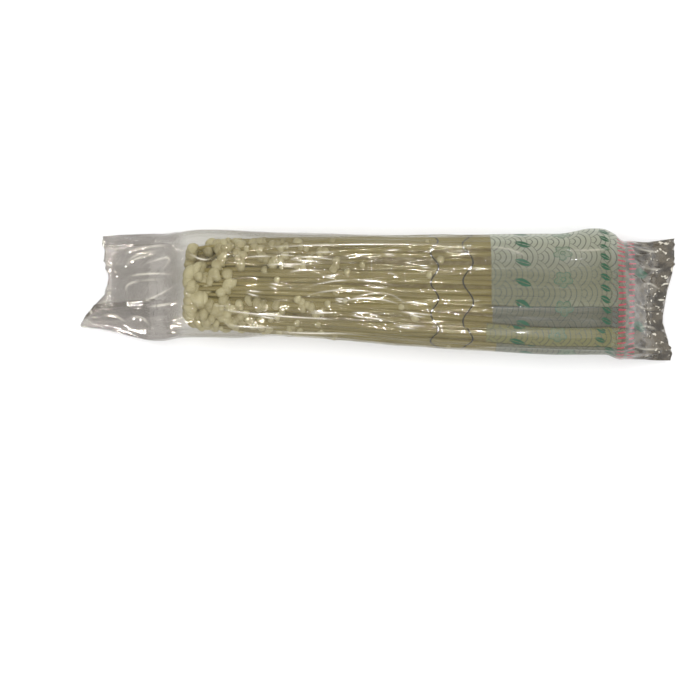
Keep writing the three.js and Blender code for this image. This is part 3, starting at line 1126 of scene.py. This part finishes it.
def film_material():
    material, tree, shader = new_material("printed_film")
    uv = place(tree, "ShaderNodeUVMap", uv_map="sheet").outputs[0]
    split = place(tree, "ShaderNodeSeparateXYZ", {"Vector": uv}).outputs
    across = product(tree, split["X"], SHEET_AROUND)
    along = scaled(tree, split["Y"], SHEET_ALONG, float(FILM_LOW))

    # The printed band's ground, and where its panels shift the print.
    cloudy = ramp(tree, stretched_noise(tree, (25, 60, 60)), 0.35, 0.7, 0, 0.45)
    cloudy = most(tree, cloudy, ramp(tree, across, 48, 68, 0.9, 0))
    printed = tint(tree, cloudy, (0.185, 0.195, 0.135, 1), (0.35, 0.37, 0.29, 1))
    shifted, round_to = along, across
    for panel in PANELS:
        inside = product(
            tree, calc(tree, "GREATER_THAN", across, panel["from"]),
            calc(tree, "LESS_THAN", across, panel["to"]),
        )
        shifted = scaled(tree, inside, -panel["shift"], shifted)
        round_to = scaled(tree, inside, 1.6 * panel["shift"], round_to)
        printed = tint(tree, inside, printed, panel["tint"])
    milky = product(
        tree, ramp(tree, shifted, PRINT_START - 0.2, PRINT_START + 0.2),
        ramp(tree, along, PRINT_END - 1, PRINT_END + 6, 1, 0.35),
    )

    # The print.
    arcs = product(
        tree, wave_lines(tree, round_to, shifted), ramp(tree, shifted, PRINT_START, PRINT_START + 0.3)
    )
    arcs = product(tree, arcs, ramp(tree, along, PRINT_END, PRINT_END + 8, 1, 0.2))
    leaves = most(
        tree, *(leaf_mask(tree, across, shifted, *row) for row in LEAF_ROWS),
        leaf_mask(tree, across, along, *TAIL_LEAVES),
    )
    filled, outlined = blossom_masks(tree, across, shifted, *BLOSSOM_ROW)
    red = most(tree, *(stroke_mask(tree, across, along, *row) for row in STROKE_ROWS))
    thread = most(tree, *(wavy_line(tree, across, along, *line) for line in WAVY_LINES))
    # Painted shade lines where the panels meet, at the film's fold lines.
    fold_shade_lines = most(tree, *(stripe_mask(tree, across, panel["from"], FOLD_SHADE_WIDTH) for panel in PANELS))
    fold_shade_lines = product(tree, fold_shade_lines, ramp(tree, along, 36, 44))
    marks = most(tree, leaves, outlined, red, thread)

    # Clear film: over loose ends, caps and stems.
    on_bunch = ramp(tree, along, -84, -74)
    veil = ramp(tree, stretched_noise(tree, (60, 190, 190)), 0.3, 0.75)
    over_caps = tint(tree, veil, (0.235, 0.21, 0.12, 1), (0.32, 0.285, 0.165, 1))
    over_stems = tint(tree, veil, (0.175, 0.156, 0.078, 1), (0.235, 0.21, 0.108, 1))
    over_bunch = tint(tree, ramp(tree, along, -30, -8), over_caps, over_stems)
    loose = tint(tree, veil, (0.25, 0.225, 0.19, 1), (0.33, 0.30, 0.26, 1))
    clear = tint(tree, on_bunch, loose, over_bunch)

    # The crumpled tail at the root end with painted light and shade on each facet, painted glints on
    # the welds, and painted highlights along the creases.
    dark_tail = ramp(tree, along, 93, 99)
    # Painted light and shade on each crumpled facet, over the tail's darker grey.
    facet_painted_light = ramp(tree, stretched_noise(tree, (170, 260, 260)), 0.38, 0.62)
    crushed_painted_facets = tint(tree, facet_painted_light, (0.045, 0.036, 0.024, 1), (0.12, 0.10, 0.07, 1))
    # Painted shade beside fold lines and where loose film lies in two layers.
    shaded = attribute(tree, "shaded")
    welded = most(tree, ramp(tree, along, -109, -105, 1, 0), ramp(tree, along, 104, 111))
    # Noise that breaks up the painted highlights along the creases.
    glint_breakup = ramp(tree, stretched_noise(tree, (70, 220, 220), 1), 0.28, 0.52, 0.2, 1)
    faint = scaled(tree, most(tree, milky, dark_tail), -0.6, 1)
    # Painted glint flecks on the welds.
    weld_painted_glints = ramp(tree, stretched_noise(tree, (420, 600, 600), 1), 0.62, 0.70, 0, 0.8)
    painted_glint = most(
        tree, product(tree, product(tree, attribute(tree, "painted_glint"), glint_breakup), faint),
        product(tree, weld_painted_glints, welded),
    )

    colour = clear
    for mask, shade in (
        (milky, printed),
        (dark_tail, crushed_painted_facets),
        (product(tree, arcs, 0.9), (0.07, 0.08, 0.065, 1)),
        (product(tree, filled, 0.5), (0.14, 0.20, 0.13, 1)),
        (outlined, (0.04, 0.09, 0.05, 1)),
        (leaves, (0.002, 0.06, 0.022, 1)),
        (red, (0.34, 0.02, 0.045, 1)),
        # Printed wavy threads, and painted shade lines where the panels meet.
        (most(tree, thread, product(tree, fold_shade_lines, 0.6)), (0.015, 0.015, 0.012, 1)),
        # Painted shade.
        (product(tree, shaded, 0.6), (0.10, 0.085, 0.07, 1)),
        # Painted highlights and glints.
        (painted_glint, (0.88, 0.83, 0.70, 1)),
    ):
        colour = tint(tree, mask, colour, shade)

    tail = most(tree, ramp(tree, along, -84, -76, 1, 0), dark_tail)
    crown = product(tree, ramp(tree, along, -84, -78), ramp(tree, along, -62, -46, 1, 0))
    lap = stripe_mask(tree, across, *LAP)
    grazing = place(tree, "ShaderNodeLayerWeight", {"Blend": 0.35}).outputs["Facing"]
    alpha = 0.2
    for mask, more in (
        (milky, 0.38), (tail, 0.26), (dark_tail, 0.14), (welded, 0.04), (lap, 0.06), (crown, -0.08),
        (shaded, 0.12), (grazing, 0.64),
    ):
        alpha = scaled(tree, mask, more, alpha)
    for mask, least in ((marks, 0.96), (arcs, 0.75), (fold_shade_lines, 0.5), (painted_glint, 0.9)):
        alpha = most(tree, alpha, product(tree, mask, least))

    bare = less(tree, 1, most(tree, milky, marks))
    metal = scaled(tree, on_bunch, -0.3, 0.5)
    gloss = scaled(tree, on_bunch, -0.25, 1)
    for socket, value in (
        ("Base Color", colour),
        ("Metallic", product(tree, bare, metal)),
        ("Alpha", alpha),
        ("Roughness", scaled(tree, milky, 0.38, 0.06)),
        ("Coat Weight", product(tree, scaled(tree, milky, -0.8, 1), gloss)),
        ("Coat Roughness", 0.05),
        ("Normal", bumped(tree, film_relief(tree, along, welded), 1, 0.00011)),
    ):
        feed(tree, shader.inputs[socket], value)
    return material


film_piece(film_material())


# ---- Floor and light ----


def stage_piece():
    bm = bmesh.new()
    bmesh.ops.create_grid(bm, x_segments=1, y_segments=1, size=1.5)
    floor = add_object("floor", mesh_of(bm, "floor"))
    material, tree, shader = new_material("floor_matte")
    speckle = stretched_noise(tree, (30, 30, 30))
    grey = tint(tree, speckle, (0.83, 0.83, 0.83, 1), (0.86, 0.86, 0.86, 1))
    feed(tree, shader.inputs["Base Color"], grey)
    shader.inputs["Roughness"].default_value = 0.9
    shader.inputs["Emission Color"].default_value = (1, 1, 1, 1)
    shader.inputs["Emission Strength"].default_value = 0.14
    floor.data.materials.append(material)


# What the lamps point at, and each lamp: its name, start, end, width and watts, and whether it is
# seen in gloss alone or lights matt surfaces alone.
LIT = Vector((-0.03, 0, 0.02))
LAMPS = [
    ("ceiling", (-0.7, 0.2, 1.6), (0.9, 0.2, 1.6), 1.6, 15, False),
    ("strip_near", (-0.09, -0.44, 0.64), (0.06, -0.44, 0.64), 0.016, 3.6, True),
    ("strip_left", (-0.28, -0.44, 0.58), (-0.76, -0.40, 0.16), 0.011, 4.5, True),
    ("strip_far", (-0.12, 0.44, 0.66), (0.05, 0.44, 0.66), 0.016, 2.4, True),
]


def panel_light(name, start, end, width, watts, seen_in_gloss):
    start, end = Vector(start), Vector(end)
    middle = (start + end) / 2
    along = (end - start).normalized()
    back = middle - LIT
    back = (back - back.dot(along) * along).normalized()
    data = bpy.data.lights.new(name, "AREA")
    data.shape = "RECTANGLE"
    data.size, data.size_y = (end - start).length, width
    data.energy = watts
    light = add_object(name, data)
    turn = Matrix((along, back.cross(along), back)).transposed()
    light.matrix_world = Matrix.Translation(middle) @ turn.to_4x4()
    light.visible_glossy = seen_in_gloss
    light.visible_diffuse = not seen_in_gloss


stage_piece()
for lamp in LAMPS:
    panel_light(*lamp)

world = bpy.data.worlds.new("studio")
world.use_nodes = True
background = world.node_tree.nodes["Background"].inputs
background["Color"].default_value = (1.0, 1.0, 1.0, 1)
background["Strength"].default_value = 0.95
bpy.context.scene.world = world
bpy.context.scene.view_settings.view_transform = "Standard"
bpy.context.scene.cycles.transparent_max_bounces = 32
